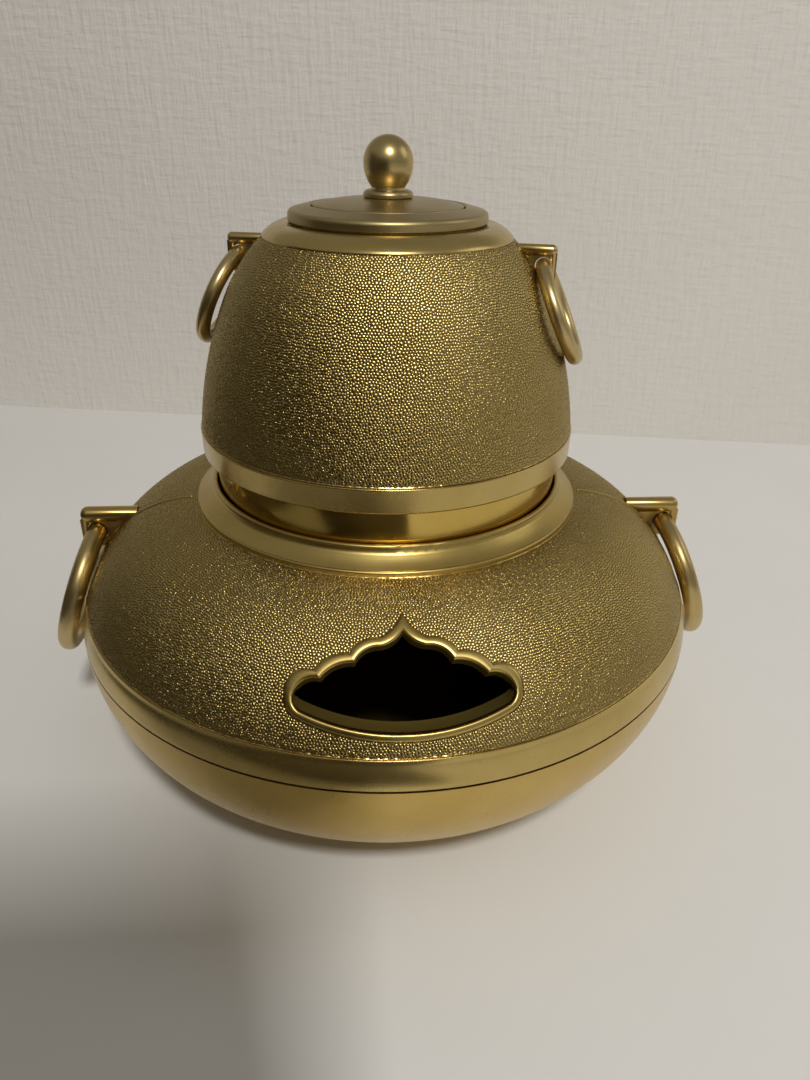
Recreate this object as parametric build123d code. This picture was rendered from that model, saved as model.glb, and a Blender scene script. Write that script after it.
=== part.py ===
"""Tabletop tea brazier with its kettle, lid and carrying rings.

Frame: millimetres, +Z up, origin at the centre of the foot on the table.
The air window faces -Y. The brazier's lugs lie on the X axis.
The loose kettle stands turned about Z by KETTLE_TURN.
"""

import os
from math import acos, asin, cos, degrees, radians, sin, sqrt

from build123d import *

# ---- driving dimensions -------------------------------------------------------------------
SEAM_Z = 37.0            # height of the joint between the bowl and the brazier shell
SEAM_R = 75.0            # largest radius of the body, at the joint
KETTLE_TURN = -13.7      # degrees that the kettle stands turned in the brazier

BOWL_ARC_R = 34.0        # outside curve of the bowl, centred level with the joint
BOWL_WALL = 2.2
FOOT_OUT_R = 42.0
FOOT_IN_R = 38.4
FOOT_H = 3.0
SPIGOT_R = 72.6          # rim that centres the shell on the bowl
SPIGOT_H = 3.0
SPIGOT_WALL = 1.6
SEAM_GAP = 0.3           # open line seen round the joint
SLIDE_FIT = 0.08         # radial play between the bowl's spigot and the shell

BAND_H = 6.3             # smooth band above the joint
BAND_TOP_R = 73.6
DOME_ARC_R = 33.6        # outside curve of the dome
DOME_START = (73.3, SEAM_Z + 6.4)
DOME_END = (45.5, SEAM_Z + 28.0)
SHELL_WALL = 2.2

COLLAR_SEAT_R = 43.6     # opening in the dome that the collar is pressed into
COLLAR_FOOT_R = 45.4
COLLAR_LIP_R = 41.4      # outside of the lip, above the cove
COLLAR_TOP_Z = 69.9
COLLAR_BORE_R = 40.45
LEDGE_Z = 63.2           # the kettle pan rests here
LEDGE_R = 37.6

WINDOW_TILT = 42.5       # slope of the dome at the window, from the horizontal
WINDOW_Y = -63.9
WINDOW_Z = SEAM_Z + 17.8
FRAME_PROUD = 0.8        # frame above the stippled dome
FRAME_DEPTH = 3.2        # frame below the stippled dome

PAN_R = 40.1
PAN_FLANGE_R = 40.7
PAN_LOWER_R = 37.2
PAN_BOTTOM_Z = 54.0
PAN_WALL = 1.5

KETTLE_BOTTOM_Z = 77.4
KETTLE_BAND_R = 43.0
KETTLE_BAND_TOP = 82.8
KETTLE_ARC_R = 91.5      # outside curve of the kettle's wall
KETTLE_START = (42.7, 83.0)
KETTLE_ARC_AIM = (28.35, 123.6)   # where that curve would end if it ran on
KETTLE_BEND_Z = 110.0    # the wall turns in more sharply from here
KETTLE_BEND_R = 40.0
KETTLE_END_Z = 123.0     # top of the stippled wall
KETTLE_WALL = 2.0
MOUTH_SEAT_R = 20.2
SHOULDER_STEP_R = 22.5
SHOULDER_STEP_Z = 125.7

MOUTH_R = 21.15
MOUTH_BORE_R = 16.3
MOUTH_LEDGE_R = 14.6
MOUTH_LEDGE_Z = 126.8
MOUTH_TOP_Z = 129.0

LID_R = 15.9
LID_EDGE_Z = 129.1
LID_TOP_Z = 130.3
SEAT_R = 5.2
SEAT_TOP_Z = 131.9
KNOB_R = 5.15
KNOB_CENTRE_Z = 137.1
KNOB_NECK_R = 3.5
SCREW_R = 1.45
SCREW_HOLE_R = 1.5

BRAZIER_HOLE = (71.3, 53.8)      # centre of the ring's hole: radius from the axis, height
BRAZIER_HOLE_R = 2.55
BRAZIER_LUG_OUT = 75.0
BRAZIER_BAR_R = 1.95
BRAZIER_BAR_Z = 57.9
BRAZIER_WEB = 2.6
BRAZIER_WEB_LOW = 49.9
BRAZIER_RING_R = 15.6            # to the middle of the wire
BRAZIER_WIRE_R = 2.3
BRAZIER_LEAN = 18.7              # degrees that a hanging ring leans out against the dome

KETTLE_HOLE = (33.3, 118.1)
KETTLE_HOLE_R = 1.8
KETTLE_LUG_OUT = 36.0
KETTLE_BAR_R = 1.2
KETTLE_BAR_Z = 121.15
KETTLE_WEB = 1.3
KETTLE_WEB_LOW = 114.2
KETTLE_RING_R = 10.3
KETTLE_WIRE_R = 1.6
KETTLE_LEAN = 25.0

EDGE = 0.35              # small rounding on turned edges


# ---- helpers ------------------------------------------------------------------------------
class Outline:
    """A closed outline of lines and arcs, drawn point by point as (radius, height)."""

    def __init__(self, x, z):
        self.first = (x, z)
        self.last = (x, z)
        self.edges = []

    def line(self, x, z):
        self.edges.append(Line(self.last, (x, z)))
        self.last = (x, z)
        return self

    def arc(self, middle, end):
        self.edges.append(ThreePointArc(self.last, middle, end))
        self.last = end
        return self

    def sweep(self, centre, start, end):
        """An arc about a centre, from one angle to another in degrees; a line joins it on."""
        radius = start[0]
        first = polar(centre, radius, start[1])
        if distance(self.last, first) > 1e-6:
            self.line(*first)
        return self.arc(polar(centre, radius, (start[1] + end) / 2), polar(centre, radius, end))

    def face(self):
        if distance(self.last, self.first) > 1e-6:
            self.line(*self.first)
        return make_face(Curve() + self.edges)


def distance(a, b):
    return sqrt((a[0] - b[0]) ** 2 + (a[1] - b[1]) ** 2)


def polar(centre, radius, angle):
    return (centre[0] + radius * cos(radians(angle)), centre[1] + radius * sin(radians(angle)))


def spin(outline):
    """The solid that an outline makes when it turns once about Z."""
    return revolve(Plane.XZ * outline.face(), Axis.Z)


def arc_centre(start, end, radius):
    """Centre of an arc that bulges away from the axis, from a low point to a high one."""
    half = distance(start, end) / 2
    rise = sqrt(radius**2 - half**2)
    along = ((end[0] - start[0]) / (2 * half), (end[1] - start[1]) / (2 * half))
    middle = ((start[0] + end[0]) / 2, (start[1] + end[1]) / 2)
    return (middle[0] - rise * along[1], middle[1] + rise * along[0])


def angle_at_height(centre, radius, z):
    return degrees(asin((z - centre[1]) / radius))


DOME_CENTRE = arc_centre(DOME_START, DOME_END, DOME_ARC_R)
KETTLE_CENTRE = arc_centre(KETTLE_START, KETTLE_ARC_AIM, KETTLE_ARC_R)
KETTLE_BEND_ANGLE = angle_at_height(KETTLE_CENTRE, KETTLE_ARC_R, KETTLE_BEND_Z)
KETTLE_BEND_CENTRE = polar(KETTLE_CENTRE, KETTLE_ARC_R - KETTLE_BEND_R, KETTLE_BEND_ANGLE)
KETTLE_END_ANGLE = angle_at_height(KETTLE_BEND_CENTRE, KETTLE_BEND_R, KETTLE_END_Z)
KETTLE_END = polar(KETTLE_BEND_CENTRE, KETTLE_BEND_R, KETTLE_END_ANGLE)
BOWL_CENTRE = (SEAM_R - BOWL_ARC_R, SEAM_Z)


# ---- base ---------------------------------------------------------------------------------
def lower_bowl():
    rim_z = SEAM_Z - SEAM_GAP
    inner_r = BOWL_ARC_R - BOWL_WALL
    outer_low = -90 + 1.7
    floor_top = SEAM_Z - inner_r
    spigot_in = SPIGOT_R - SPIGOT_WALL
    land_r = SPIGOT_R + 1.4
    o = Outline(0, FOOT_H)
    o.line(FOOT_IN_R, FOOT_H).line(FOOT_IN_R, EDGE)
    o.arc((FOOT_IN_R + EDGE * 0.3, EDGE * 0.3), (FOOT_IN_R + EDGE, 0))
    o.line(FOOT_OUT_R - EDGE, 0)
    o.arc((FOOT_OUT_R - EDGE * 0.3, EDGE * 0.3), (FOOT_OUT_R, EDGE))
    o.sweep(BOWL_CENTRE, (BOWL_ARC_R, outer_low), angle_at_height(BOWL_CENTRE, BOWL_ARC_R, rim_z))
    o.line(land_r, rim_z).line(land_r, SEAM_Z).line(SPIGOT_R, SEAM_Z)
    o.line(SPIGOT_R, SEAM_Z + SPIGOT_H - EDGE).line(SPIGOT_R - EDGE, SEAM_Z + SPIGOT_H)
    o.line(spigot_in, SEAM_Z + SPIGOT_H).line(spigot_in, SEAM_Z - 1.5)
    low = SEAM_Z - 4.0
    o.sweep(BOWL_CENTRE, (inner_r, angle_at_height(BOWL_CENTRE, inner_r, low)), -90)
    o.line(0, floor_top)
    return spin(o)


# ---- brazier ------------------------------------------------------------------------------
def dome_layer(inner, outer):
    """The zone of the dome between two offsets from its outside curve."""
    o = Outline(*polar(DOME_CENTRE, DOME_ARC_R + outer, 5))
    o.sweep(DOME_CENTRE, (DOME_ARC_R + outer, 5), 89)
    o.sweep(DOME_CENTRE, (DOME_ARC_R + inner, 89), 5)
    return spin(o)


def window_plane():
    tilt = radians(WINDOW_TILT)
    return Plane(origin=(0, WINDOW_Y, WINDOW_Z), x_dir=(1, 0, 0), z_dir=(0, -sin(tilt), cos(tilt)))


def scalloped(half):
    """A closed outline from its right half: points of arcs from the peak to the lowest point."""
    edges = []
    for side in (1, -1):
        for start, middle, end in half:
            points = [(side * x, y) for x, y in (start, middle, end)]
            edges.append(ThreePointArc(*points))
    return make_face(Curve() + edges)


def window_outer():
    peak, neck, notch_a, notch_b = (0, 11.9), (4.6, 7.0), (9.9, 4.3), (16.5, 1.6)
    horn, heel, low = (22.0, -2.4), (19.8, -6.9), (0, -11.8)
    return scalloped([
        (peak, (1.6, 9.2), neck),
        (neck, (8.1, 6.3), notch_a),
        (notch_a, (14.0, 3.7), notch_b),
        (notch_b, (20.2, 1.3), horn),
        (horn, (21.7, -4.9), heel),
        (heel, (10.4, -10.6), low),
    ])


def window_inner():
    peak, neck, notch_a, notch_b = (0, 8.1), (4.2, 5.3), (9.1, 2.4), (15.4, -0.1)
    horn, heel, low = (20.5, -3.0), (18.6, -5.9), (0, -10.4)
    return scalloped([
        (peak, (1.7, 6.3), neck),
        (neck, (7.2, 4.6), notch_a),
        (notch_a, (13.0, 1.8), notch_b),
        (notch_b, (18.9, -0.5), horn),
        (horn, (20.2, -4.5), heel),
        (heel, (9.9, -9.2), low),
    ])


def window_prism(outline):
    """The outline carried through the dome's wall, square to the window."""
    plane = window_plane()
    return extrude(plane * outline, amount=14, both=True)


def brazier_shell():
    skirt_r = SPIGOT_R + SLIDE_FIT
    skirt_top = SEAM_Z + SPIGOT_H + 0.4
    inner_r = DOME_ARC_R - SHELL_WALL
    band_top = SEAM_Z + BAND_H
    o = Outline(skirt_r, SEAM_Z)
    o.line(SEAM_R - EDGE, SEAM_Z)
    o.arc((SEAM_R - EDGE * 0.3, SEAM_Z + EDGE * 0.3), (SEAM_R, SEAM_Z + EDGE))
    o.arc((74.55, SEAM_Z + 3.4), (BAND_TOP_R, band_top))
    o.line(*DOME_START)
    o.sweep(DOME_CENTRE, (DOME_ARC_R, angle_at_height(DOME_CENTRE, DOME_ARC_R, DOME_START[1])),
            angle_at_height(DOME_CENTRE, DOME_ARC_R, DOME_END[1]))
    o.line(COLLAR_SEAT_R, DOME_END[1])
    seat_angle = degrees(acos((COLLAR_SEAT_R - DOME_CENTRE[0]) / inner_r))
    o.sweep(DOME_CENTRE, (inner_r, seat_angle), angle_at_height(DOME_CENTRE, inner_r, skirt_top + 2.5))
    o.line(skirt_r, skirt_top)
    shell = spin(o)
    return shell - window_prism(window_outer())


def window_frame():
    ring = window_prism(window_outer()) - window_prism(window_inner())
    frame = ring & dome_layer(-FRAME_DEPTH, FRAME_PROUD)
    return max(frame.solids(), key=lambda s: -s.center().Y)


def brazier_collar():
    foot_z = DOME_END[1]
    o = Outline(COLLAR_SEAT_R, foot_z)
    o.line(COLLAR_FOOT_R, foot_z).line(COLLAR_FOOT_R, foot_z + 0.55)
    o.arc((COLLAR_FOOT_R - 0.15, foot_z + 0.9), (COLLAR_FOOT_R - 0.55, foot_z + 1.05))
    o.arc((43.2, foot_z + 2.0), (COLLAR_LIP_R + 0.55, foot_z + 3.0))
    o.arc((COLLAR_LIP_R + 0.2, foot_z + 3.4), (COLLAR_LIP_R, foot_z + 4.0))
    o.arc((COLLAR_LIP_R - 0.4, COLLAR_TOP_Z), (COLLAR_BORE_R, COLLAR_TOP_Z - 0.55))
    o.line(COLLAR_BORE_R, LEDGE_Z).line(LEDGE_R, LEDGE_Z).line(LEDGE_R, LEDGE_Z - 1.6)
    o.line(COLLAR_BORE_R - 0.6, LEDGE_Z - 2.6).line(COLLAR_SEAT_R, LEDGE_Z - 2.6)
    return spin(o)


def lug(hole, hole_r, out_x, bar_r, bar_z, web, low_z, body):
    """An ear in the X-Z plane: a flat web with a round bar on top, holed for its ring."""
    root_x = hole[0] - 4 * hole_r
    plate = Outline(root_x, bar_z).line(out_x - bar_r * 0.5, bar_z).line(out_x, bar_z - bar_r * 0.5)
    plate.line(out_x, low_z + 1.4).arc((out_x - 0.5, low_z + 0.4), (out_x - 1.5, low_z)).line(root_x, low_z)
    ear = extrude(Plane.XZ * plate.face(), amount=web / 2, both=True)
    length = out_x - root_x
    bar = Cylinder(bar_r, length, align=(Align.CENTER, Align.CENTER, Align.MIN))
    bar = fillet(bar.edges().sort_by(Axis.Z)[-1], bar_r * 0.95)
    post_r = web * 0.5 + 0.2
    post = Cylinder(post_r, bar_z - low_z - 0.8, align=(Align.CENTER, Align.CENTER, Align.MAX))
    ear += Pos(root_x, 0, bar_z) * Rot(0, 90, 0) * bar
    ear += Pos(out_x - post_r, 0, bar_z) * post
    eye = Pos(hole[0], 0, hole[1]) * Rot(90, 0, 0) * Cylinder(hole_r, 6 * bar_r)
    ear = ear - eye - body
    return max(ear.solids(), key=lambda s: s.center().X)


def brazier_lug():
    outer = Outline(0, SEAM_Z)
    outer.line(BAND_TOP_R, SEAM_Z)
    outer.line(*DOME_START)
    outer.sweep(DOME_CENTRE, (DOME_ARC_R, angle_at_height(DOME_CENTRE, DOME_ARC_R, DOME_START[1])),
                angle_at_height(DOME_CENTRE, DOME_ARC_R, DOME_END[1]))
    outer.line(0, DOME_END[1])
    return lug(BRAZIER_HOLE, BRAZIER_HOLE_R, BRAZIER_LUG_OUT, BRAZIER_BAR_R, BRAZIER_BAR_Z,
               BRAZIER_WEB, BRAZIER_WEB_LOW, spin(outer))


def ring(hole, ring_r, wire_r, lean):
    """A carrying ring that hangs from its hole and leans out by an angle."""
    down_out = Vector(sin(radians(lean)), 0, -cos(radians(lean)))
    centre = Vector(hole[0], 0, hole[1]) + down_out * ring_r
    plane = Plane(origin=centre, x_dir=(0, 1, 0), z_dir=Vector(0, 1, 0).cross(down_out))
    return plane * Torus(ring_r, wire_r)


# ---- kettle -------------------------------------------------------------------------------
def kettle_wall(o):
    """The outside of the kettle's wall, from its band up to the shoulder."""
    o.line(*KETTLE_START)
    start = angle_at_height(KETTLE_CENTRE, KETTLE_ARC_R, KETTLE_START[1])
    o.sweep(KETTLE_CENTRE, (KETTLE_ARC_R, start), KETTLE_BEND_ANGLE)
    return o.sweep(KETTLE_BEND_CENTRE, (KETTLE_BEND_R, KETTLE_BEND_ANGLE), KETTLE_END_ANGLE)


def kettle_shell():
    inner_r = KETTLE_ARC_R - KETTLE_WALL
    bend_inner_r = KETTLE_BEND_R - KETTLE_WALL
    seat_top = MOUTH_LEDGE_Z - 1.2
    o = Outline(PAN_FLANGE_R, KETTLE_BOTTOM_Z)
    o.line(KETTLE_BAND_R - 0.6, KETTLE_BOTTOM_Z)
    o.arc((KETTLE_BAND_R - 0.25, KETTLE_BOTTOM_Z + 0.15), (KETTLE_BAND_R - 0.1, KETTLE_BOTTOM_Z + 0.5))
    o.line(KETTLE_BAND_R, KETTLE_BAND_TOP - 0.2).line(KETTLE_BAND_R - 0.2, KETTLE_BAND_TOP)
    kettle_wall(o)
    o.line(KETTLE_END[0] + 0.05, KETTLE_END[1] + 0.2)
    o.arc((24.8, 124.85), (SHOULDER_STEP_R, SHOULDER_STEP_Z))
    o.line(SHOULDER_STEP_R - 0.3, seat_top)
    o.line(MOUTH_SEAT_R, seat_top).line(MOUTH_SEAT_R, 123.2).line(24.3, 121.6)
    inner_top = angle_at_height(KETTLE_BEND_CENTRE, bend_inner_r, 120.0)
    inner_low = angle_at_height(KETTLE_CENTRE, inner_r, KETTLE_START[1] + 1)
    o.sweep(KETTLE_BEND_CENTRE, (bend_inner_r, inner_top), KETTLE_BEND_ANGLE)
    o.sweep(KETTLE_CENTRE, (inner_r, KETTLE_BEND_ANGLE), inner_low)
    o.line(PAN_FLANGE_R, KETTLE_START[1])
    return spin(o)


def kettle_pan():
    flange_top = KETTLE_BOTTOM_Z + 3.4
    inner = PAN_R - PAN_WALL
    low_inner = PAN_LOWER_R - PAN_WALL
    o = Outline(inner, flange_top)
    o.line(PAN_FLANGE_R, flange_top).line(PAN_FLANGE_R, KETTLE_BOTTOM_Z + 1.5)
    o.line(PAN_R, KETTLE_BOTTOM_Z + 1.0).line(PAN_R, LEDGE_Z).line(PAN_LOWER_R, LEDGE_Z)
    o.line(PAN_LOWER_R, PAN_BOTTOM_Z + 6).arc((35.4, PAN_BOTTOM_Z + 1.8), (31.2, PAN_BOTTOM_Z))
    o.line(0, PAN_BOTTOM_Z).line(0, PAN_BOTTOM_Z + PAN_WALL)
    o.line(31.2, PAN_BOTTOM_Z + PAN_WALL)
    o.arc((34.3, PAN_BOTTOM_Z + 2.8), (low_inner, PAN_BOTTOM_Z + 6))
    o.line(low_inner, LEDGE_Z + 1.0).line(inner, LEDGE_Z + 2.0)
    return spin(o)


def kettle_mouth_ring():
    foot_z = 122.8
    flange_z = MOUTH_LEDGE_Z - 1.0
    o = Outline(MOUTH_LEDGE_R, foot_z)
    o.line(MOUTH_SEAT_R, foot_z).line(MOUTH_SEAT_R, flange_z)
    o.line(MOUTH_R - 0.3, flange_z).line(MOUTH_R, flange_z + 0.3).line(MOUTH_R, flange_z + 1.4)
    o.arc((MOUTH_R - 0.25, flange_z + 2.05), (MOUTH_R - 0.9, flange_z + 2.4))
    o.line(MOUTH_BORE_R + 0.8, MOUTH_TOP_Z)
    o.arc((MOUTH_BORE_R + 0.25, MOUTH_TOP_Z - 0.1), (MOUTH_BORE_R, MOUTH_TOP_Z - 0.5))
    o.line(MOUTH_BORE_R, MOUTH_LEDGE_Z).line(MOUTH_LEDGE_R, MOUTH_LEDGE_Z)
    return spin(o)


def kettle_lug():
    outer = kettle_wall(Outline(0, KETTLE_START[1]))
    outer.line(0, KETTLE_END[1])
    return lug(KETTLE_HOLE, KETTLE_HOLE_R, KETTLE_LUG_OUT, KETTLE_BAR_R, KETTLE_BAR_Z,
               KETTLE_WEB, KETTLE_WEB_LOW, spin(outer))


# ---- lid ----------------------------------------------------------------------------------
def lid_plate():
    rim_out = MOUTH_LEDGE_R - 0.4
    rim_low = 124.6
    o = Outline(SCREW_HOLE_R, MOUTH_LEDGE_Z)
    o.line(rim_out - 1.4, MOUTH_LEDGE_Z).line(rim_out - 1.4, rim_low).line(rim_out, rim_low)
    o.line(rim_out, MOUTH_LEDGE_Z).line(LID_R, MOUTH_LEDGE_Z).line(LID_R, LID_EDGE_Z - 0.4)
    o.arc((LID_R - 0.12, LID_EDGE_Z - 0.12), (LID_R - 0.4, LID_EDGE_Z))
    o.arc((10.8, LID_TOP_Z - 0.35), (SEAT_R + 0.6, LID_TOP_Z)).line(SCREW_HOLE_R, LID_TOP_Z)
    return spin(o)


def knob_seat():
    o = Outline(SCREW_HOLE_R, LID_TOP_Z)
    o.line(SEAT_R - 0.3, LID_TOP_Z).line(SEAT_R, LID_TOP_Z + 0.3).line(SEAT_R, LID_TOP_Z + 0.8)
    o.arc((SEAT_R - 0.35, LID_TOP_Z + 1.35), (SEAT_R - 1.0, SEAT_TOP_Z))
    o.line(SCREW_HOLE_R, SEAT_TOP_Z)
    return spin(o)


def knob():
    top = KNOB_CENTRE_Z + KNOB_R
    bore_top = 137.5
    o = Outline(SCREW_HOLE_R, SEAT_TOP_Z)
    o.line(KNOB_NECK_R + 0.1, SEAT_TOP_Z).line(KNOB_NECK_R, SEAT_TOP_Z + 0.5)
    o.arc((4.65, 134.3), (KNOB_R, KNOB_CENTRE_Z))
    o.arc((KNOB_R * sqrt(0.5), KNOB_CENTRE_Z + KNOB_R * sqrt(0.5)), (0, top))
    o.line(0, bore_top).line(SCREW_HOLE_R, bore_top)
    return spin(o)


def knob_screw():
    head_r = 2.7
    head_z = MOUTH_LEDGE_Z - 1.7
    o = Outline(0, head_z).line(head_r - 0.6, head_z)
    o.arc((head_r - 0.15, head_z + 0.3), (head_r, head_z + 0.9)).line(head_r, MOUTH_LEDGE_Z)
    o.line(SCREW_R, MOUTH_LEDGE_Z).line(SCREW_R, 136.6).line(0, 137.2)
    slot = Pos(0, 0, head_z) * Box(4 * head_r, 0.7, 1.4)
    return spin(o) - slot


# ---- assembly -----------------------------------------------------------------------------
def both_sides(name, shape, turn=0.0):
    """The right-hand piece and its half-turned twin on the left."""
    return {
        name + "_right": Rot(0, 0, turn) * shape,
        name + "_left": Rot(0, 0, turn + 180) * shape,
    }


def all_parts():
    parts = {
        "lower_bowl": lower_bowl(),
        "brazier_shell": brazier_shell(),
        "brazier_collar": brazier_collar(),
        "window_frame": window_frame(),
        "kettle_shell": kettle_shell(),
        "kettle_pan": kettle_pan(),
        "kettle_mouth_ring": kettle_mouth_ring(),
        "lid_plate": lid_plate(),
        "knob_seat": knob_seat(),
        "knob": knob(),
        "knob_screw": knob_screw(),
    }
    parts |= both_sides("brazier_lug", brazier_lug())
    parts |= both_sides("brazier_ring", ring(BRAZIER_HOLE, BRAZIER_RING_R, BRAZIER_WIRE_R, BRAZIER_LEAN))
    parts |= both_sides("kettle_lug", kettle_lug(), KETTLE_TURN)
    parts |= both_sides("kettle_ring", ring(KETTLE_HOLE, KETTLE_RING_R, KETTLE_WIRE_R, KETTLE_LEAN), KETTLE_TURN)
    return parts


os.makedirs("parts", exist_ok=True)
for name, shape in all_parts().items():
    shape.label = name
    export_step(shape, f"parts/{name}.step")
    print(f"{name:20s} {shape.volume / 1000:8.2f} cm3")
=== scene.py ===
"""Looks of the tabletop tea brazier and kettle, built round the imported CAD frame.

Sizes are in millimetres as in the CAD source, and MM turns them into metres.
"""

from math import acos, asin, atan2, ceil, cos, degrees, hypot, pi, radians, sin, sqrt

import bmesh
import bpy
import numpy as np
from mathutils import Euler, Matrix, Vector
from mathutils.geometry import delaunay_2d_cdt


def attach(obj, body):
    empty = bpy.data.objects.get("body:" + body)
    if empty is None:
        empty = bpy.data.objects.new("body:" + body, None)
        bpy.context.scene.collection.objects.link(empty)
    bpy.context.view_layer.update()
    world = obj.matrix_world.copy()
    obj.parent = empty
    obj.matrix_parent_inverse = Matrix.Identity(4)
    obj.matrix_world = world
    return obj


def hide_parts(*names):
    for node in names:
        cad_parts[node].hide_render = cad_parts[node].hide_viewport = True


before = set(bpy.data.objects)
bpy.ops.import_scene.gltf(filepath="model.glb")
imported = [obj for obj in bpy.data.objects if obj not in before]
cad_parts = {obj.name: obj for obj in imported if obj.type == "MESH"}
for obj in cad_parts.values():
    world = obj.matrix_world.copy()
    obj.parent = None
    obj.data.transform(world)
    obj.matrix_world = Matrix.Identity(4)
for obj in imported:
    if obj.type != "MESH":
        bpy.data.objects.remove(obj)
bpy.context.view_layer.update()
MM = 0.001

# ---- sizes shared with the CAD source -------------------------------------------------------
SEAM_Z = 37.0
SEAM_R = 75.0
SKIRT_R = 72.68
SKIRT_TOP = 40.4
BAND_TOP = (73.6, SEAM_Z + 6.3)
DOME_ARC_R = 33.6
DOME_START = (73.3, SEAM_Z + 6.4)
DOME_END = (45.5, SEAM_Z + 28.0)
SHELL_WALL = 2.2
BOWL_ARC_R = 34.0
BOWL_WALL = 2.2
COLLAR_SEAT_R = 43.6
WINDOW_TILT = 42.5
WINDOW_Y = -63.9
WINDOW_Z = SEAM_Z + 17.8
FRAME_DEPTH = 3.2
SILL_LEAN = 2.6          # how far up the window's slope the sill's inner edge leans
SILL_TOP = -1.0          # height on the window's slope above which nothing leans
SILL_BLEND = 4.0         # distance below SILL_TOP at which the lean is whole
PAN_FLANGE_R = 40.7
KETTLE_BOTTOM_Z = 77.4
KETTLE_BAND_R = 43.0
KETTLE_BAND_TOP = 82.8
KETTLE_ARC_R = 91.5
KETTLE_START = (42.7, 83.0)
KETTLE_ARC_AIM = (28.35, 123.6)
KETTLE_BEND_Z = 110.0
KETTLE_BEND_R = 40.0
KETTLE_END_Z = 123.0
KETTLE_WALL = 2.0
MOUTH_SEAT_R = 20.2
SHOULDER_STEP = (22.5, 125.7)
EDGE = 0.35

# ---- the grain ------------------------------------------------------------------------------
GRAIN_PITCH = 0.64
GRAIN_JITTER = 0.4       # share of the pitch
GRAIN_RISE = 0.12        # peak above the CAD surface
GRAIN_SINK = 0.14        # groove below it
LOWEST_EDGE_GRAIN = 0.2  # share of its rise that a grain keeps at the rim of its surface
STEPS = 256              # round a turned surface


# ---- outlines -------------------------------------------------------------------------------
def polar(centre, radius, angle):
    return (centre[0] + radius * cos(radians(angle)), centre[1] + radius * sin(radians(angle)))


def angle_at_height(centre, radius, z):
    return degrees(asin((z - centre[1]) / radius))


def arc_centre(start, end, radius):
    """Centre of an arc that bulges away from the axis, from a low point to a high one."""
    half = hypot(end[0] - start[0], end[1] - start[1]) / 2
    rise = sqrt(radius**2 - half**2)
    along = ((end[0] - start[0]) / (2 * half), (end[1] - start[1]) / (2 * half))
    middle = ((start[0] + end[0]) / 2, (start[1] + end[1]) / 2)
    return (middle[0] - rise * along[1], middle[1] + rise * along[0])


def arc_points(start, middle, end, step):
    """Points of the circle through three points, after the first one, about a step apart."""
    (ax, ay), (bx, by), (cx, cy) = start, middle, end
    d = 2 * (ax * (by - cy) + bx * (cy - ay) + cx * (ay - by))
    a2, b2, c2 = ax * ax + ay * ay, bx * bx + by * by, cx * cx + cy * cy
    ux = (a2 * (by - cy) + b2 * (cy - ay) + c2 * (ay - by)) / d
    uy = (a2 * (cx - bx) + b2 * (ax - cx) + c2 * (bx - ax)) / d
    radius = hypot(ax - ux, ay - uy)
    first, mid, last = (atan2(y - uy, x - ux) for x, y in (start, middle, end))
    turn = (last - first) % (2 * pi)
    if (mid - first) % (2 * pi) > turn:
        turn -= 2 * pi
    count = max(2, ceil(abs(turn) * radius / step))
    return [
        (ux + radius * cos(first + turn * i / count), uy + radius * sin(first + turn * i / count))
        for i in range(1, count + 1)
    ]


class Outline:
    """The closed half-section of a turned piece, as (radius, height) points."""

    def __init__(self, x, z):
        self.points = [(x, z)]
        self.zones = {}

    def line(self, x, z):
        self.points.append((x, z))
        return self

    def arc(self, middle, end, step=0.5):
        self.points += arc_points(self.points[-1], middle, end, step)
        return self

    def sweep(self, centre, radius, start, end, step=2.0):
        first = polar(centre, radius, start)
        if hypot(self.points[-1][0] - first[0], self.points[-1][1] - first[1]) > 1e-6:
            self.points.append(first)
        return self.arc(polar(centre, radius, (start + end) / 2), polar(centre, radius, end), step)

    def zone(self, name, end):
        """A stretch that is filled by other code instead of plain rings of quads."""
        self.zones[len(self.points) - 1] = name
        self.points.append(end)
        return self


def arc_from(centre, radius, start, end, count=400):
    """Points of an arc about a centre, between two angles in degrees."""
    a = np.radians(np.linspace(start, end, count))
    return np.column_stack((centre[0] + radius * np.cos(a), centre[1] + radius * np.sin(a)))


DOME_CENTRE = arc_centre(DOME_START, DOME_END, DOME_ARC_R)
KETTLE_CENTRE = arc_centre(KETTLE_START, KETTLE_ARC_AIM, KETTLE_ARC_R)
KETTLE_BEND_ANGLE = angle_at_height(KETTLE_CENTRE, KETTLE_ARC_R, KETTLE_BEND_Z)
KETTLE_BEND_CENTRE = polar(KETTLE_CENTRE, KETTLE_ARC_R - KETTLE_BEND_R, KETTLE_BEND_ANGLE)
KETTLE_END_ANGLE = angle_at_height(KETTLE_BEND_CENTRE, KETTLE_BEND_R, KETTLE_END_Z)
KETTLE_END = polar(KETTLE_BEND_CENTRE, KETTLE_BEND_R, KETTLE_END_ANGLE)


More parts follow.
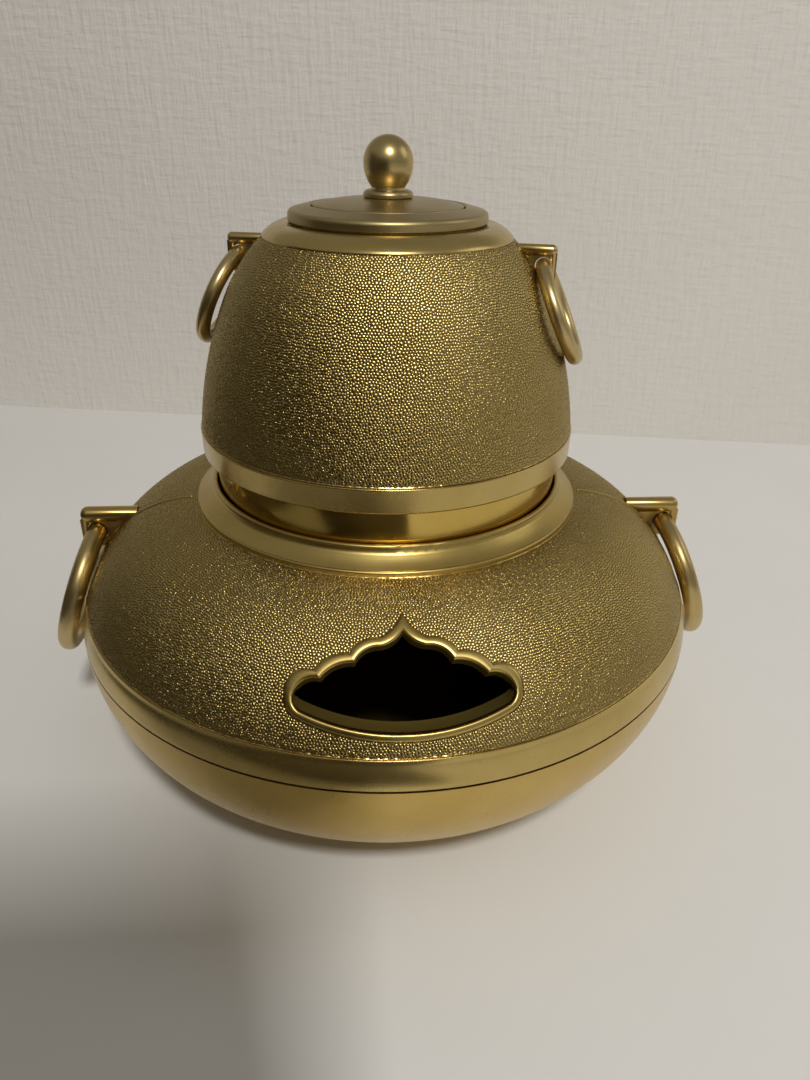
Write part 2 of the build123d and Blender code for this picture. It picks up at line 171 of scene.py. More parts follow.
# ---- meshes ---------------------------------------------------------------------------------
class Build:
    """Vertices and faces in millimetres, gathered into one mesh piece."""

    def __init__(self):
        self.verts = []
        self.faces = []
        self.creases = []
        self.grain = {}

    def add(self, points):
        first = len(self.verts)
        self.verts += [tuple(p) for p in points]
        return np.arange(first, len(self.verts))

    def ring(self, r, z, steps=STEPS):
        a = np.arange(steps) * 2 * pi / steps
        return self.add(np.column_stack((r * np.sin(a), -r * np.cos(a), np.full(steps, z))))

    def band(self, low, high):
        """Quads between two closed rings of the same length."""
        low_next, high_next = np.roll(low, -1), np.roll(high, -1)
        self.faces += np.column_stack((low, low_next, high_next, high)).tolist()

    def crease(self, ring):
        self.creases += np.column_stack((ring, np.roll(ring, -1))).tolist()

    def piece(self, name, body, slot, material, *replaced):
        mesh = bpy.data.meshes.new(name)
        mesh.from_pydata([(x * MM, y * MM, z * MM) for x, y, z in self.verts], [], self.faces)
        mesh.validate()
        mesh.polygons.foreach_set("use_smooth", [True] * len(mesh.polygons))
        if self.creases:
            mark_sharp(mesh, self.creases)
        level = np.ones(len(self.verts), np.float32)
        for index, value in self.grain.items():
            level[index] = value
        layer = mesh.attributes.new("grain", "FLOAT", "POINT")
        layer.data.foreach_set("value", level)
        obj = bpy.data.objects.new(name, mesh)
        bpy.context.scene.collection.objects.link(obj)
        mesh.materials.append(material)
        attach(obj, body)
        if replaced:
            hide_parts(*replaced)
        return obj


def mark_sharp(mesh, pairs):
    ends = np.zeros(len(mesh.edges) * 2, np.int64)
    mesh.edges.foreach_get("vertices", ends)
    ends = np.sort(ends.reshape(-1, 2), axis=1)
    wanted = np.sort(np.array(pairs, np.int64), axis=1)
    scale = len(mesh.vertices)
    sharp = np.isin(ends[:, 0] * scale + ends[:, 1], wanted[:, 0] * scale + wanted[:, 1])
    layer = mesh.attributes.new("sharp_edge", "BOOLEAN", "EDGE")
    layer.data.foreach_set("value", sharp)


def turned(build, outline, fill):
    """Rings along a closed outline, quads between them, and fill(name, ring, ring) for its zones."""
    points = outline.points
    count = len(points)
    rings = [build.ring(r, z) for r, z in points]
    for i in range(count):
        j = (i + 1) % count
        if i in outline.zones:
            fill(outline.zones[i], rings[i], rings[j])
        else:
            build.band(rings[i], rings[j])
        before = Vector(points[i]) - Vector(points[i - 1])
        after = Vector(points[j]) - Vector(points[i])
        if i in outline.zones or (i - 1) % count in outline.zones or before.angle(after) > radians(28):
            build.crease(rings[i])


class TurnedSurface:
    """A surface of revolution over a profile, laid out flat without changing its angles."""

    def __init__(self, profile):
        self.r, self.z = profile.T
        step = np.hypot(np.diff(self.r), np.diff(self.z))
        self.length = np.concatenate(([0], np.cumsum(step)))
        self.flat = np.concatenate(([0], np.cumsum(step * 2 / (self.r[1:] + self.r[:-1]))))
        along = np.column_stack((np.gradient(self.r), np.gradient(self.z)))
        self.outward = np.column_stack((along[:, 1], -along[:, 0])) / np.hypot(*along.T)[:, None]

    def radius_at(self, flat):
        return np.interp(flat, self.flat, self.r)

    def place(self, theta, flat, lift=0.0):
        r = self.radius_at(flat) + lift * np.interp(flat, self.flat, self.outward[:, 0])
        z = np.interp(flat, self.flat, self.z) + lift * np.interp(flat, self.flat, self.outward[:, 1])
        return np.column_stack((r * np.sin(theta), -r * np.cos(theta), z))

    def flat_of(self, points):
        """(theta, flat) of 3-D points on the surface, whose height only rises or only falls."""
        order = np.argsort(self.z)
        theta = np.arctan2(points[:, 0], -points[:, 1])
        return np.column_stack((theta, np.interp(points[:, 2], self.z[order], self.flat[order])))

    def scatter(self, pitch, random):
        """Points a pitch apart in jittered rows, as (theta, flat)."""
        rows = int(self.length[-1] / (pitch * 0.866))
        spread = []
        for row in range(rows):
            flat = np.interp((row + 0.5) / rows * self.length[-1], self.length, self.flat)
            r = self.radius_at(flat)
            count = round(2 * pi * r / pitch)
            around, across = random.uniform(-GRAIN_JITTER, GRAIN_JITTER, (2, count))
            theta = (np.arange(count) + 0.5 * (row % 2) + around) * 2 * pi / count
            across *= pitch / r
            if row in (0, rows - 1):
                across *= 0.5
            spread.append(np.column_stack((theta, flat + across)))
        return np.concatenate(spread)


def inside(points, loop):
    """Which points lie in a closed loop."""
    result = np.zeros(len(points), bool)
    for (ax, ay), (bx, by) in zip(loop, np.roll(loop, -1, axis=0)):
        crosses = (ay > points[:, 1]) != (by > points[:, 1])
        with np.errstate(divide="ignore", invalid="ignore"):
            x = ax + (points[:, 1] - ay) * (bx - ax) / (by - ay)
        result ^= crosses & (points[:, 0] < x)
    return result


def fill_surface(build, surface, low, high, pitch, seed, relief=True, hole=None):
    """Fills the surface between two rings of build, with grains or plain, round an optional hole.

    hole is (indices, points) of a loop already in build. Every grain is a peak that falls to
    grooves shared with its neighbours, and the grooves are creases.
    """
    random = np.random.default_rng(seed)
    peaks = surface.scatter(pitch, random)
    around = np.arange(len(low)) * 2 * pi / len(low)
    edge_points = [np.column_stack((around, np.zeros(len(low))))]
    edge_points.append(np.column_stack((around, np.full(len(high), surface.flat[-1]))))
    edge_index = [low, high]
    loop = None
    if hole is not None:
        loop = surface.flat_of(hole[1])
        edge_points.append(loop)
        edge_index.append(hole[0])
        r = surface.radius_at(peaks[:, 1])
        centred = np.column_stack(((peaks[:, 0] + pi) % (2 * pi) - pi, peaks[:, 1]))
        near = np.abs(centred[:, 0]) < np.abs(loop[:, 0]).max() + 3 * pitch / SEAM_R
        gap = np.full(len(peaks), np.inf)
        offset = centred[near][:, None, :] - loop[None, :, :]
        gap[near] = np.hypot(offset[:, :, 0], offset[:, :, 1]).min(axis=1) * r[near]
        peaks = peaks[(gap > 0.5 * pitch) & ~inside(centred, loop)]
    edges = np.concatenate(edge_points)
    known = np.concatenate((edges, peaks))
    known[:, 0] %= 2 * pi
    margin = 0.3
    right = np.flatnonzero(known[:, 0] < margin)
    left = np.flatnonzero(known[:, 0] > 2 * pi - margin)
    base = np.concatenate((np.arange(len(known)), right, left))
    spread = np.concatenate((known, known[right] + (2 * pi, 0), known[left] - (2 * pi, 0)))
    _, _, faces, original, _, _ = delaunay_2d_cdt([Vector(p) for p in spread], [], [], 0, 1e-7, True)
    first = np.array([o[0] for o in original])
    triangles = first[np.array([list(f) for f in faces if len(f) == 3])]
    middle = spread[triangles].mean(axis=1)
    keep = (middle[:, 0] >= 0) & (middle[:, 0] < 2 * pi)
    if loop is not None:
        centred = np.column_stack(((middle[:, 0] + pi) % (2 * pi) - pi, middle[:, 1]))
        keep &= ~inside(centred, loop)
    triangles, middle = triangles[keep], middle[keep]
    corner = base[triangles]
    lift = random.uniform(0.7, 1.15, len(peaks)) * GRAIN_RISE if relief else np.zeros(len(peaks))
    to_edge = np.minimum(peaks[:, 1], surface.flat[-1] - peaks[:, 1]) * surface.radius_at(peaks[:, 1])
    lift *= np.clip(to_edge / pitch, LOWEST_EDGE_GRAIN, 1.0)
    peak_index = build.add(surface.place(peaks[:, 0], peaks[:, 1], lift))
    index = np.concatenate((*edge_index, peak_index))
    if not relief:
        build.faces += index[corner].tolist()
        return
    sink = -GRAIN_SINK * random.uniform(0.8, 1.2, len(middle))
    groove = build.add(surface.place(middle[:, 0], middle[:, 1], sink))
    build.grain |= dict.fromkeys(groove.tolist(), 0.0)
    sides = np.concatenate([np.column_stack((corner[:, i], corner[:, (i + 1) % 3])) for i in range(3)])
    owner = np.tile(groove, 3)
    sides.sort(axis=1)
    order = np.lexsort((sides[:, 1], sides[:, 0]))
    sides, owner = sides[order], owner[order]
    pair = np.all(sides[:-1] == sides[1:], axis=1)
    one, two = owner[:-1][pair], owner[1:][pair]
    a, b = index[sides[:-1][pair].T]
    build.faces += np.column_stack((a, one, two)).tolist()
    build.faces += np.column_stack((b, two, one)).tolist()
    build.creases += np.column_stack((one, two)).tolist()
    single = np.ones(len(sides), bool)
    single[:-1][pair] = False
    single[1:][pair] = False
    build.faces += np.column_stack((index[sides[single]], owner[single])).tolist()


def face_outwards(obj):
    """Turns every face of a closed piece outwards."""
    bm = bmesh.new()
    bm.from_mesh(obj.data)
    bmesh.ops.recalc_face_normals(bm, faces=bm.faces)
    bm.to_mesh(obj.data)
    bm.free()


def soften(obj, width):
    """Rounds the sharp edges of a CAD node, as on a polished casting."""
    weld = obj.modifiers.new("weld", "WELD")
    weld.merge_threshold = 0.002 * MM
    bevel = obj.modifiers.new("bevel", "BEVEL")
    bevel.width = width * MM
    bevel.segments = 3
    bevel.limit_method = "ANGLE"
    bevel.angle_limit = radians(35)
    bevel.harden_normals = True


def parting_line(side, material):
    """The fine raised line that the mould left on the dome, from the collar past a lug's front."""
    half_width, rise, start_r, end_r = 0.22, 0.2, 46.6, 68.5
    forward = np.linspace(5.6, 2.3, 40)          # how far in front of the lugs' axis
    radii = np.linspace(start_r, end_r, 40)
    angles = np.arccos((radii - DOME_CENTRE[0]) / DOME_ARC_R)
    build = Build()
    rows = []
    for across, lift in ((-1, -0.15), (-0.5, rise), (0.5, rise), (1, -0.15)):
        r = DOME_CENTRE[0] + (DOME_ARC_R + lift) * np.cos(angles)
        z = DOME_CENTRE[1] + (DOME_ARC_R + lift) * np.sin(angles)
        y = across * half_width - forward
        rows.append(build.add(np.column_stack((side * np.sqrt(r**2 - y**2), y, z))))
    for low, high in zip(rows, rows[1:] + rows[:1]):
        build.faces += np.column_stack((low[:-1], low[1:], high[1:], high[:-1])).tolist()
    for end in (0, -1):
        build.faces.append([int(row[end]) for row in rows])
    name = "parting_line_" + ("right" if side > 0 else "left")
    obj = build.piece(name, "brazier", "stippled_gold", material)
    face_outwards(obj)
    return obj


# ---- the window -----------------------------------------------------------------------------
WINDOW_OUTER = [
    ((0, 11.9), (1.6, 9.2), (4.6, 7.0)),
    ((4.6, 7.0), (8.1, 6.3), (9.9, 4.3)),
    ((9.9, 4.3), (14.0, 3.7), (16.5, 1.6)),
    ((16.5, 1.6), (20.2, 1.3), (22.0, -2.4)),
    ((22.0, -2.4), (21.7, -4.9), (19.8, -6.9)),
    ((19.8, -6.9), (10.4, -10.6), (0, -11.8)),
]
WINDOW_INNER = [
    ((0, 8.1), (1.7, 6.3), (4.2, 5.3)),
    ((4.2, 5.3), (7.2, 4.6), (9.1, 2.4)),
    ((9.1, 2.4), (13.0, 1.8), (15.4, -0.1)),
    ((15.4, -0.1), (18.9, -0.5), (20.5, -3.0)),
    ((20.5, -3.0), (20.2, -4.5), (18.6, -5.9)),
    ((18.6, -5.9), (9.9, -9.2), (0, -10.4)),
]
ARC_STEPS = (10, 9, 11, 9, 5, 26)


def scallops(arcs):
    """Both halves of a scalloped outline, with the same number of points for each pair of arcs."""
    half = [arcs[0][0]]
    for (start, middle, end), count in zip(arcs, ARC_STEPS):
        fine = [start, *arc_points(start, middle, end, 0.02)]
        half += [fine[round(i * (len(fine) - 1) / count)] for i in range(1, count + 1)]
    other = [(-x, y) for x, y in half[-2:0:-1]]
    return np.array(half + other)


def on_window(flat, rise):
    """3-D points over window-plane points, at a height above the dome's CAD surface."""
    tilt = radians(WINDOW_TILT)
    up = np.array((0, cos(tilt), sin(tilt)))
    out = np.array((0, -sin(tilt), cos(tilt)))
    start = np.array((0, WINDOW_Y, WINDOW_Z)) + flat[:, :1] * (1, 0, 0) + flat[:, 1:] * up
    low, high = np.full(len(flat), -9.0), np.full(len(flat), 6.0)
    for _ in range(40):
        mid = (low + high) / 2
        p = start + mid[:, None] * out
        rho = np.hypot(p[:, 0], p[:, 1])
        far = np.hypot(rho - DOME_CENTRE[0], p[:, 2] - DOME_CENTRE[1]) > DOME_ARC_R + rise
        high = np.where(far, mid, high)
        low = np.where(far, low, mid)
    return start + low[:, None] * out


def window_frame_piece(material):
    """The raised moulding: its rounded section follows both scalloped outlines."""
    build = Build()
    outer, inner = scallops(WINDOW_OUTER), scallops(WINDOW_INNER)
    section = (
        (0.0, -1.6), (0.0, 0.22), (0.05, 0.5), (0.14, 0.7), (0.3, 0.78),
        (0.68, 0.78), (0.86, 0.68), (0.95, 0.42), (1.0, 0.05), (1.0, -FRAME_DEPTH),
    )
    rings = []
    for share, rise in section:
        flat = outer + (inner - outer) * share
        if rise == -FRAME_DEPTH:
            flat[:, 1] += SILL_LEAN * np.clip((SILL_TOP - flat[:, 1]) / SILL_BLEND, 0.0, 1.0)
        rings.append(build.add(on_window(flat, rise)))
    for a, b in zip(rings, rings[1:] + rings[:1]):
        build.band(a, b)
    build.crease(rings[0])
    build.crease(rings[-1])
    corners = np.cumsum((0, *ARC_STEPS))[[0, 2, 3, 4]]
    for corner in (*corners, *(len(outer) - corners[1:])):
        build.creases += [(rings[i][corner], rings[i + 1][corner]) for i in range(len(rings) - 1)]
    obj = build.piece("window_moulding", "brazier", "satin_gold", material, "window_frame")
    face_outwards(obj)
    return obj


# ---- turned and grained shells --------------------------------------------------------------
def brazier_shell_piece(material):
    build = Build()
    inner_r = DOME_ARC_R - SHELL_WALL
    start = angle_at_height(DOME_CENTRE, DOME_ARC_R, DOME_START[1])
    end = angle_at_height(DOME_CENTRE, DOME_ARC_R, DOME_END[1])
    inner_end = degrees(acos((COLLAR_SEAT_R - DOME_CENTRE[0]) / inner_r))
    inner_start = angle_at_height(DOME_CENTRE, inner_r, SKIRT_TOP + 2.5)
    o = Outline(SKIRT_R, SEAM_Z).line(SEAM_R - EDGE, SEAM_Z)
    o.arc((SEAM_R - EDGE * 0.3, SEAM_Z + EDGE * 0.3), (SEAM_R, SEAM_Z + EDGE), 0.15)
    o.arc((74.55, SEAM_Z + 3.4), (BAND_TOP[0] + 0.06, BAND_TOP[1] - 0.22), 1.0)
    o.arc((BAND_TOP[0] + 0.02, BAND_TOP[1] - 0.05), (BAND_TOP[0] - 0.12, BAND_TOP[1]), 0.1)
    o.line(DOME_START[0], BAND_TOP[1] - 0.12)
    o.line(*DOME_START)
    o.zone("outside", DOME_END)
    o.line(COLLAR_SEAT_R, DOME_END[1])
    o.line(*polar(DOME_CENTRE, inner_r, inner_end))
    o.zone("inside", polar(DOME_CENTRE, inner_r, inner_start))
    o.line(SKIRT_R, SKIRT_TOP)

    opening = scallops(WINDOW_OUTER) * 1.006
    loops = [on_window(opening, 0.0), on_window(opening, -SHELL_WALL)]
    edges = [build.add(points) for points in loops]
    build.band(*edges)

    def fill(name, low, high):
        if name == "outside":
            surface = TurnedSurface(arc_from(DOME_CENTRE, DOME_ARC_R, start, end))
            fill_surface(build, surface, low, high, GRAIN_PITCH, 11, hole=(edges[0], loops[0]))
        else:
            surface = TurnedSurface(arc_from(DOME_CENTRE, inner_r, inner_end, inner_start))
            fill_surface(build, surface, low, high, 3.0, 12, relief=False, hole=(edges[1], loops[1]))

    turned(build, o, fill)
    build.crease(edges[0])
    build.crease(edges[1])
    obj = build.piece("brazier_dome", "brazier", "stippled_gold", material, "brazier_shell")
    face_outwards(obj)
    return obj


def kettle_shell_piece(material):
    build = Build()
    inner_r = KETTLE_ARC_R - KETTLE_WALL
    bend_inner_r = KETTLE_BEND_R - KETTLE_WALL
    start = angle_at_height(KETTLE_CENTRE, KETTLE_ARC_R, KETTLE_START[1])
    seat_top = 125.6
    o = Outline(PAN_FLANGE_R, KETTLE_BOTTOM_Z).line(KETTLE_BAND_R - 0.6, KETTLE_BOTTOM_Z)
    o.arc((KETTLE_BAND_R - 0.25, KETTLE_BOTTOM_Z + 0.15), (KETTLE_BAND_R - 0.1, KETTLE_BOTTOM_Z + 0.5), 0.15)
    o.line(KETTLE_BAND_R, KETTLE_BAND_TOP - 0.35)
    o.arc((KETTLE_BAND_R - 0.05, KETTLE_BAND_TOP - 0.07), (KETTLE_BAND_R - 0.25, KETTLE_BAND_TOP), 0.1)
    o.line(KETTLE_START[0] - 0.12, KETTLE_BAND_TOP - 0.1)
    o.line(*KETTLE_START)
    o.zone("outside", KETTLE_END)
    o.line(KETTLE_END[0] + 0.14, KETTLE_END[1] + 0.06).line(KETTLE_END[0] + 0.1, KETTLE_END[1] + 0.22)
    o.arc((24.8, 124.85), SHOULDER_STEP, 0.6)
    o.line(SHOULDER_STEP[0] - 0.3, seat_top)
    o.line(MOUTH_SEAT_R, seat_top).line(MOUTH_SEAT_R, 123.2).line(24.3, 121.6)
    inner_top = angle_at_height(KETTLE_BEND_CENTRE, bend_inner_r, 120.0)
    inner_low = angle_at_height(KETTLE_CENTRE, inner_r, KETTLE_START[1] + 1)
    o.sweep(KETTLE_BEND_CENTRE, bend_inner_r, inner_top, KETTLE_BEND_ANGLE)
    o.sweep(KETTLE_CENTRE, inner_r, KETTLE_BEND_ANGLE, inner_low)
    o.line(PAN_FLANGE_R, KETTLE_START[1])

    def fill(name, low, high):
        wall = arc_from(KETTLE_CENTRE, KETTLE_ARC_R, start, KETTLE_BEND_ANGLE)
        bend = arc_from(KETTLE_BEND_CENTRE, KETTLE_BEND_R, KETTLE_BEND_ANGLE, KETTLE_END_ANGLE)
        surface = TurnedSurface(np.concatenate((wall, bend[1:])))
        fill_surface(build, surface, low, high, GRAIN_PITCH, 21)

    turned(build, o, fill)
    obj = build.piece("kettle_body", "kettle", "stippled_gold", material, "kettle_shell")
    face_outwards(obj)
    return obj


# ---- materials ------------------------------------------------------------------------------
class Nodes:
    """A short way to write node trees, for a new material or one that is there."""

    def __init__(self, name):
        self.material = bpy.data.materials.get(name) or bpy.data.materials.new(name)
        self.material.use_nodes = True
        self.tree = self.material.node_tree
        self.shader = self.tree.nodes["Principled BSDF"]

    def add(self, kind, *inputs, **settings):
        node = self.tree.nodes.new(kind)
        for key, value in settings.items():
            setattr(node, key, value)
        for i, value in enumerate(inputs):
            if value is not None:
                self.feed(value, node.inputs[i])
        return node

    def feed(self, value, socket):
        if isinstance(value, bpy.types.NodeSocket):
            self.tree.links.new(value, socket)
        else:
            socket.default_value = value

    def maths(self, operation, *inputs):
        return self.add("ShaderNodeMath", *inputs, operation=operation).outputs[0]

    def length(self, x, y):
        x_squared = self.maths("MULTIPLY", x, x)
        y_squared = self.maths("MULTIPLY", y, y)
        return self.maths("SQRT", self.maths("ADD", x_squared, y_squared))

    def noise(self, vector, scale, detail=3.0, rough=0.5):
        node = self.add("ShaderNodeTexNoise")
        self.feed(vector, node.inputs["Vector"])
        self.feed(scale, node.inputs["Scale"])
        self.feed(detail, node.inputs["Detail"])
        self.feed(rough, node.inputs["Roughness"])
        return node.outputs["Fac"]

    def remap(self, value, low, high, new_low, new_high):
        node = self.add("ShaderNodeMapRange", value, low, high, new_low, new_high)
        return node.outputs[0]

    def mix(self, share, one, two):
        node = self.add("ShaderNodeMix", data_type="RGBA")
        self.feed(share, node.inputs[0])
        self.feed(one, node.inputs[6])
        self.feed(two, node.inputs[7])
        return node.outputs[2]


HOLLOW_COLOUR = (0.42, 0.32, 0.09)
HOLLOW_ROUGH = 0.55


def gold(name, pale, deep, rough, turned_lines=0.0, grained=False, grime=0.25, hollow=None):
    """Gold plate: cloudy colour, smudged polish, and either fine turned lines or cast grain with painted
    shade in its grooves.

    hollow is the centre and radius of an inside curve, within which the metal is dull and brown.
    """
    n = Nodes(name)
    place = n.add("ShaderNodeTexCoord").outputs["Object"]
    parts = n.add("ShaderNodeSeparateXYZ", place).outputs
    radius = n.length(parts[0], parts[1])
    cloudy = n.remap(n.noise(place, 28.0, 4.0, 0.6), 0.35, 0.65, 0.0, 1.0)
    speck = n.noise(place, 900.0, 2.0, 0.6)
    colour = n.mix(cloudy, (*deep, 1), (*pale, 1))
    colour = n.mix(n.remap(speck, 0.62, 0.78, 0.0, grime), colour, (*[c * 0.45 for c in deep], 1))
    polish = n.remap(n.noise(place, 60.0, 5.0, 0.65), 0.3, 0.7, rough * 0.82, rough * 1.2)
    if grained:
        level = n.add("ShaderNodeAttribute", attribute_name="grain").outputs["Fac"]
        # painted shade: the colour is darkened in the grooves between grains, where shade falls; the grooves
        # are also made rougher
        groove = n.remap(level, 0.0, 0.55, 1.0, 0.0)
        colour = n.mix(n.maths("MULTIPLY", groove, 0.85), colour, (*[c * 0.25 for c in deep], 1))
        polish = n.maths("ADD", polish, n.maths("MULTIPLY", groove, 0.12))
        height = n.noise(place, 2600.0, 2.0, 0.6)
        bump = n.add("ShaderNodeBump", 0.25, 0.00004, height)
    else:
        rings = n.add("ShaderNodeCombineXYZ", radius, parts[2], 0.0).outputs[0]
        lines = n.noise(rings, 2400.0, 2.0, 0.5)
        pits = n.noise(place, 1500.0, 3.0, 0.6)
        height = n.maths("ADD", n.maths("MULTIPLY", lines, turned_lines),
                         n.maths("MULTIPLY", pits, 1.0 - turned_lines))
        bump = n.add("ShaderNodeBump", 0.3, 0.00002, height)
    if hollow:
        (centre_r, centre_z), inner = hollow
        out = n.maths("MAXIMUM", n.maths("SUBTRACT", radius, centre_r * MM), 0.0)
        depth = n.length(out, n.maths("SUBTRACT", parts[2], centre_z * MM))
        within = n.maths("LESS_THAN", depth, inner * MM)
        colour = n.mix(within, colour, (*HOLLOW_COLOUR, 1))
        polish = n.maths("MAXIMUM", polish, n.maths("MULTIPLY", within, HOLLOW_ROUGH))
    n.feed(height, bump.inputs["Height"])
    n.feed(colour, n.shader.inputs["Base Color"])
    n.feed(polish, n.shader.inputs["Roughness"])
    n.feed(bump.outputs[0], n.shader.inputs["Normal"])
    n.shader.inputs["Metallic"].default_value = 1.0
    return n.material


DOME_HOLLOW = (DOME_CENTRE, DOME_ARC_R - SHELL_WALL + 0.5)
BOWL_HOLLOW = ((SEAM_R - BOWL_ARC_R, SEAM_Z), BOWL_ARC_R - BOWL_WALL + 0.5)

STIPPLE = gold("stippled_gold", (0.60, 0.455, 0.175), (0.50, 0.365, 0.12), 0.26, grained=True)
DOME = gold("stippled_gold_dome", (0.60, 0.455, 0.175), (0.50, 0.365, 0.12), 0.26, grained=True,
            hollow=DOME_HOLLOW)
SATIN = gold("satin_gold", (0.58, 0.435, 0.15), (0.47, 0.34, 0.10), 0.32, turned_lines=0.7)
SMOOTH = gold("smooth_gold", (0.64, 0.465, 0.155), (0.54, 0.37, 0.10), 0.30, turned_lines=0.4,
              hollow=BOWL_HOLLOW)
FRAME = gold("frame_gold", (0.58, 0.435, 0.15), (0.47, 0.34, 0.10), 0.32, turned_lines=0.7,
             hollow=(DOME_CENTRE, DOME_ARC_R - 0.5))
POLISHED = gold("polished_gold", (0.62, 0.44, 0.12), (0.54, 0.36, 0.08), 0.12, turned_lines=0.5, grime=0.1)
RING = gold("ring_gold", (0.62, 0.49, 0.24), (0.50, 0.37, 0.15), 0.32, turned_lines=0.2)
LUG = gold("lug_gold", (0.62, 0.46, 0.18), (0.47, 0.32, 0.10), 0.30, turned_lines=0.0)
LID = gold("lid_gold", (0.46, 0.365, 0.18), (0.38, 0.295, 0.13), 0.38, turned_lines=0.8)
KNOB = gold("knob_gold", (0.56, 0.44, 0.20), (0.46, 0.34, 0.13), 0.30, turned_lines=0.3)

NODE_LOOKS = {
    "lower_bowl": SMOOTH,
    "brazier_collar": SATIN,
    "brazier_lug_left": LUG,
    "brazier_lug_right": LUG,
    "brazier_ring_left": RING,
    "brazier_ring_right": RING,
    "kettle_pan": POLISHED,
    "kettle_mouth_ring": LID,
    "kettle_lug_left": LUG,
    "kettle_lug_right": LUG,
    "kettle_ring_left": RING,
    "kettle_ring_right": RING,
    "lid_plate": LID,
    "knob_seat": LID,
    "knob": KNOB,
    "knob_screw": SATIN,
}
for node, look in NODE_LOOKS.items():
    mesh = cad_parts[node].data
    mesh.materials.clear()
    mesh.materials.append(look)

for node in ("brazier_lug_left", "brazier_lug_right", "kettle_lug_left", "kettle_lug_right"):
    soften(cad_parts[node], 0.25 if node.startswith("brazier") else 0.15)

brazier_shell_piece(DOME)
kettle_shell_piece(STIPPLE)
window_frame_piece(FRAME)
for side in (-1, 1):
    parting_line(side, SATIN)


# ---- stage, lights and camera ---------------------------------------------------------------
def plain(name, colour, rough):
    n = Nodes(name)
    place = n.add("ShaderNodeTexCoord").outputs["Object"]
    tone = n.remap(n.noise(place, 14.0, 5.0, 0.6), 0.3, 0.7, 0.0, 1.0)
    n.feed(n.mix(tone, (*[c * 0.97 for c in colour], 1), (*colour, 1)), n.shader.inputs["Base Color"])
    n.shader.inputs["Roughness"].default_value = rough
    return n.material


def flat_piece(name, corners, material):
    mesh = bpy.data.meshes.new(name)
    mesh.from_pydata(corners, [], [(0, 1, 2, 3)])
    mesh.materials.append(material)
    obj = bpy.data.objects.new(name, mesh)
    bpy.context.scene.collection.objects.link(obj)


def cloth(name):
    """Pale woven wall covering: uneven threads that run along and up the wall."""
    material = plain(name, (0.85, 0.82, 0.78), 0.9)
    n = Nodes(name)
    place = n.add("ShaderNodeTexCoord").outputs["Object"]
    weft = n.noise(n.add("ShaderNodeMapping", place, None, None, (90, 90, 420)).outputs[0], 1.0, 2.0)
    warp = n.noise(n.add("ShaderNodeMapping", place, None, None, (420, 420, 70)).outputs[0], 1.0, 2.0)
    bump = n.add("ShaderNodeBump", 1.0, 0.0007, n.maths("ADD", weft, warp))
    n.feed(n.maths("ADD", weft, warp), bump.inputs["Height"])
    n.feed(bump.outputs[0], n.shader.inputs["Normal"])
    return material


def table_and_wall():
    """A pale table that ends at a wall behind the object, turned a little to the camera."""
    turn = radians(-9.9)
    along = Vector((cos(turn), sin(turn), 0))
    back = Vector((-sin(turn), cos(turn), 0))
    foot = Vector((0.021, 0.218, 0))
    up = Vector((0, 0, 0.26))
    wide, deep = along * 1.6, back * -1.5
    table = [foot - wide + deep, foot + wide + deep, foot + wide, foot - wide]
    flat_piece("studio_table", table, plain("pale_table", (0.92, 0.915, 0.90), 0.5))
    wall = [foot - wide, foot + wide, foot + wide + up, foot - wide + up]
    flat_piece("studio_wall", wall, cloth("woven_wall"))


def dark_card(name, corner, across, up, colour):
    """A flat card outside the picture that the metal mirrors: upright, a photographer's flag; laid on the
    table, a painted shadow.
    """
    corner, across, up = (Vector(v) for v in (corner, across, up))
    flat_piece(name, [corner, corner + across, corner + across + up, corner + up], plain(name, colour, 0.8))


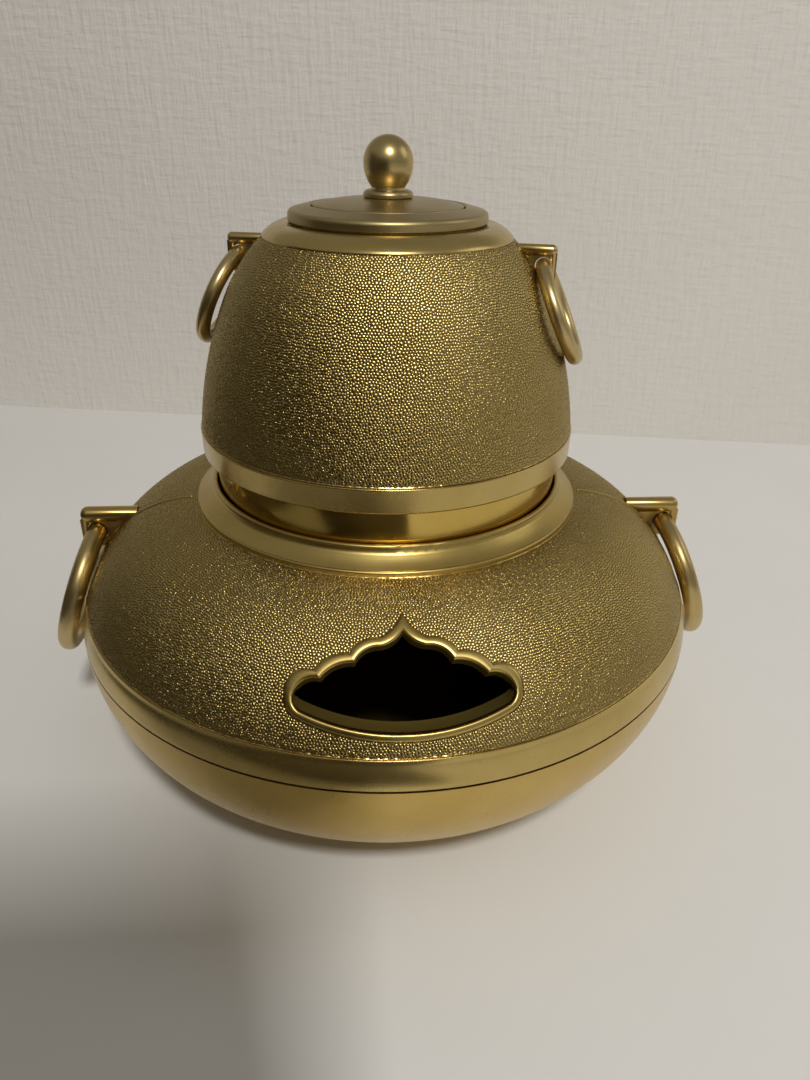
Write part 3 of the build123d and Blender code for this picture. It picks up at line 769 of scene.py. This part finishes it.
def area_light(name, place, aim, size, power, colour=(1, 1, 1)):
    data = bpy.data.lights.new(name, "AREA")
    data.shape = "RECTANGLE"
    data.size, data.size_y = size
    data.energy = power
    data.color = colour
    obj = bpy.data.objects.new(name, data)
    obj.location = place
    obj.rotation_euler = (Vector(aim) - Vector(place)).to_track_quat("-Z", "Y").to_euler()
    bpy.context.scene.collection.objects.link(obj)
    return obj


def studio():
    world = bpy.data.worlds.new("studio")
    bpy.context.scene.world = world
    world.use_nodes = True
    tree = world.node_tree
    sky = tree.nodes["Background"]
    sky.inputs["Strength"].default_value = 1.0
    sky.inputs["Color"].default_value = (0.235, 0.225, 0.205, 1)
    centre = (0, 0, 0.07)
    area_light("key", (0.06, -0.66, 0.87), centre, (0.12, 0.12), 5.0, (1.0, 0.97, 0.92))
    area_light("right_window", (1.0, 0.0, 0.7), centre, (0.6, 0.6), 1.0, (1.0, 0.99, 0.97))
    dark_card("hand_card", (-0.003, -0.196, 0.04), (-0.22, 0, 0), (0, 0, 0.165), (0.05, 0.04, 0.025))
    # painted shadow: two dark sheets laid on the table, in front and to the left, stand in for the
    # photographer's shadow there, which the metal mirrors
    dark_card("painted_shadow_front", (0.03, -0.14, 0.001), (-0.6, 0, 0), (0, -0.7, 0), (0.06, 0.045, 0.02))
    dark_card("painted_shadow_left", (-0.17, -0.14, 0.001), (-0.43, 0, 0), (0, 0.26, 0), (0.06, 0.045, 0.02))
    dark_card("left_card", (-0.5, -0.6, 0.0), (0, 0.7, 0), (0, 0, 0.4), (0.09, 0.08, 0.055))


def camera():
    """Stands in front and a little left of the window's axis, and looks down on the object."""
    place = (-9.9, -183.05, 147.27)
    pitch_down, heading_right, roll = 28.17, 4.58, 0.99
    focal_over_height = 810.5 / 1080
    data = bpy.data.cameras.new("camera")
    data.sensor_width = 36.0
    data.lens = 36.0 * focal_over_height
    data.clip_start, data.clip_end = 0.01, 20.0
    obj = bpy.data.objects.new("camera", data)
    obj.location = [v * MM for v in place]
    turn = Euler((0, 0, -radians(heading_right))).to_matrix()
    tilt = Euler((radians(90 - pitch_down), 0, 0)).to_matrix()
    lean = Euler((0, 0, radians(roll))).to_matrix()
    obj.rotation_mode = "QUATERNION"
    obj.rotation_quaternion = (turn @ tilt @ lean).to_quaternion()
    bpy.context.scene.collection.objects.link(obj)
    bpy.context.scene.camera = obj


table_and_wall()
studio()
camera()
bpy.context.scene.view_settings.view_transform = "Standard"
